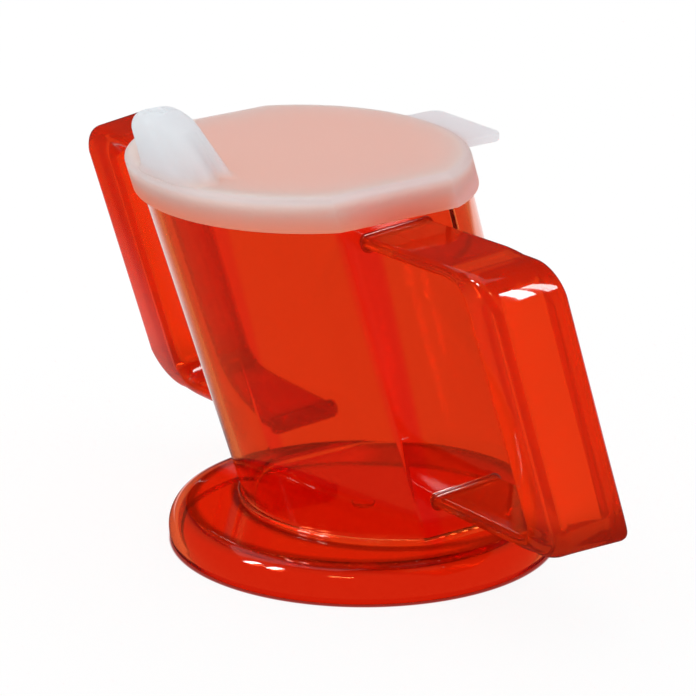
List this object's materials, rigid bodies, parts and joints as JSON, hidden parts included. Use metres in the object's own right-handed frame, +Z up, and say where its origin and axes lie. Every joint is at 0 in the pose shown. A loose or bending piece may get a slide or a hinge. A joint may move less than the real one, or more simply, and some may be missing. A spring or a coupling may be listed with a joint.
{
  "type": "two-handled drinking cup",
  "caption": "Forward-leaning drinking cup in clear red plastic with loop handles on its flat sides, a round hollow foot and a milky press-on lid with a spout and a pull tab.",
  "frame": {"origin": "on the ground, under the middle of the whole cup's bounding box", "axes": "+Z up, +X from the left handle to the right one, -Y towards the spout, which is the way the cup leans"},
  "size_m": [0.1684, 0.11, 0.1156],
  "materials": {
    "clear_red": "clear gloss",
    "milky": "satin"
  },
  "bodies": {
    "cup": {"foot": "clear_red", "cup_body": "clear_red", "right_handle": "clear_red", "left_handle": "clear_red"},
    "lid": {"lid": "milky"}
  },
  "joints": [
    {"name": "lid_pull", "type": "slide", "parent": "cup", "child": "lid", "axis": [0, -0.3024, 0.9532], "range_m": [0, 0.04]}
  ]
}
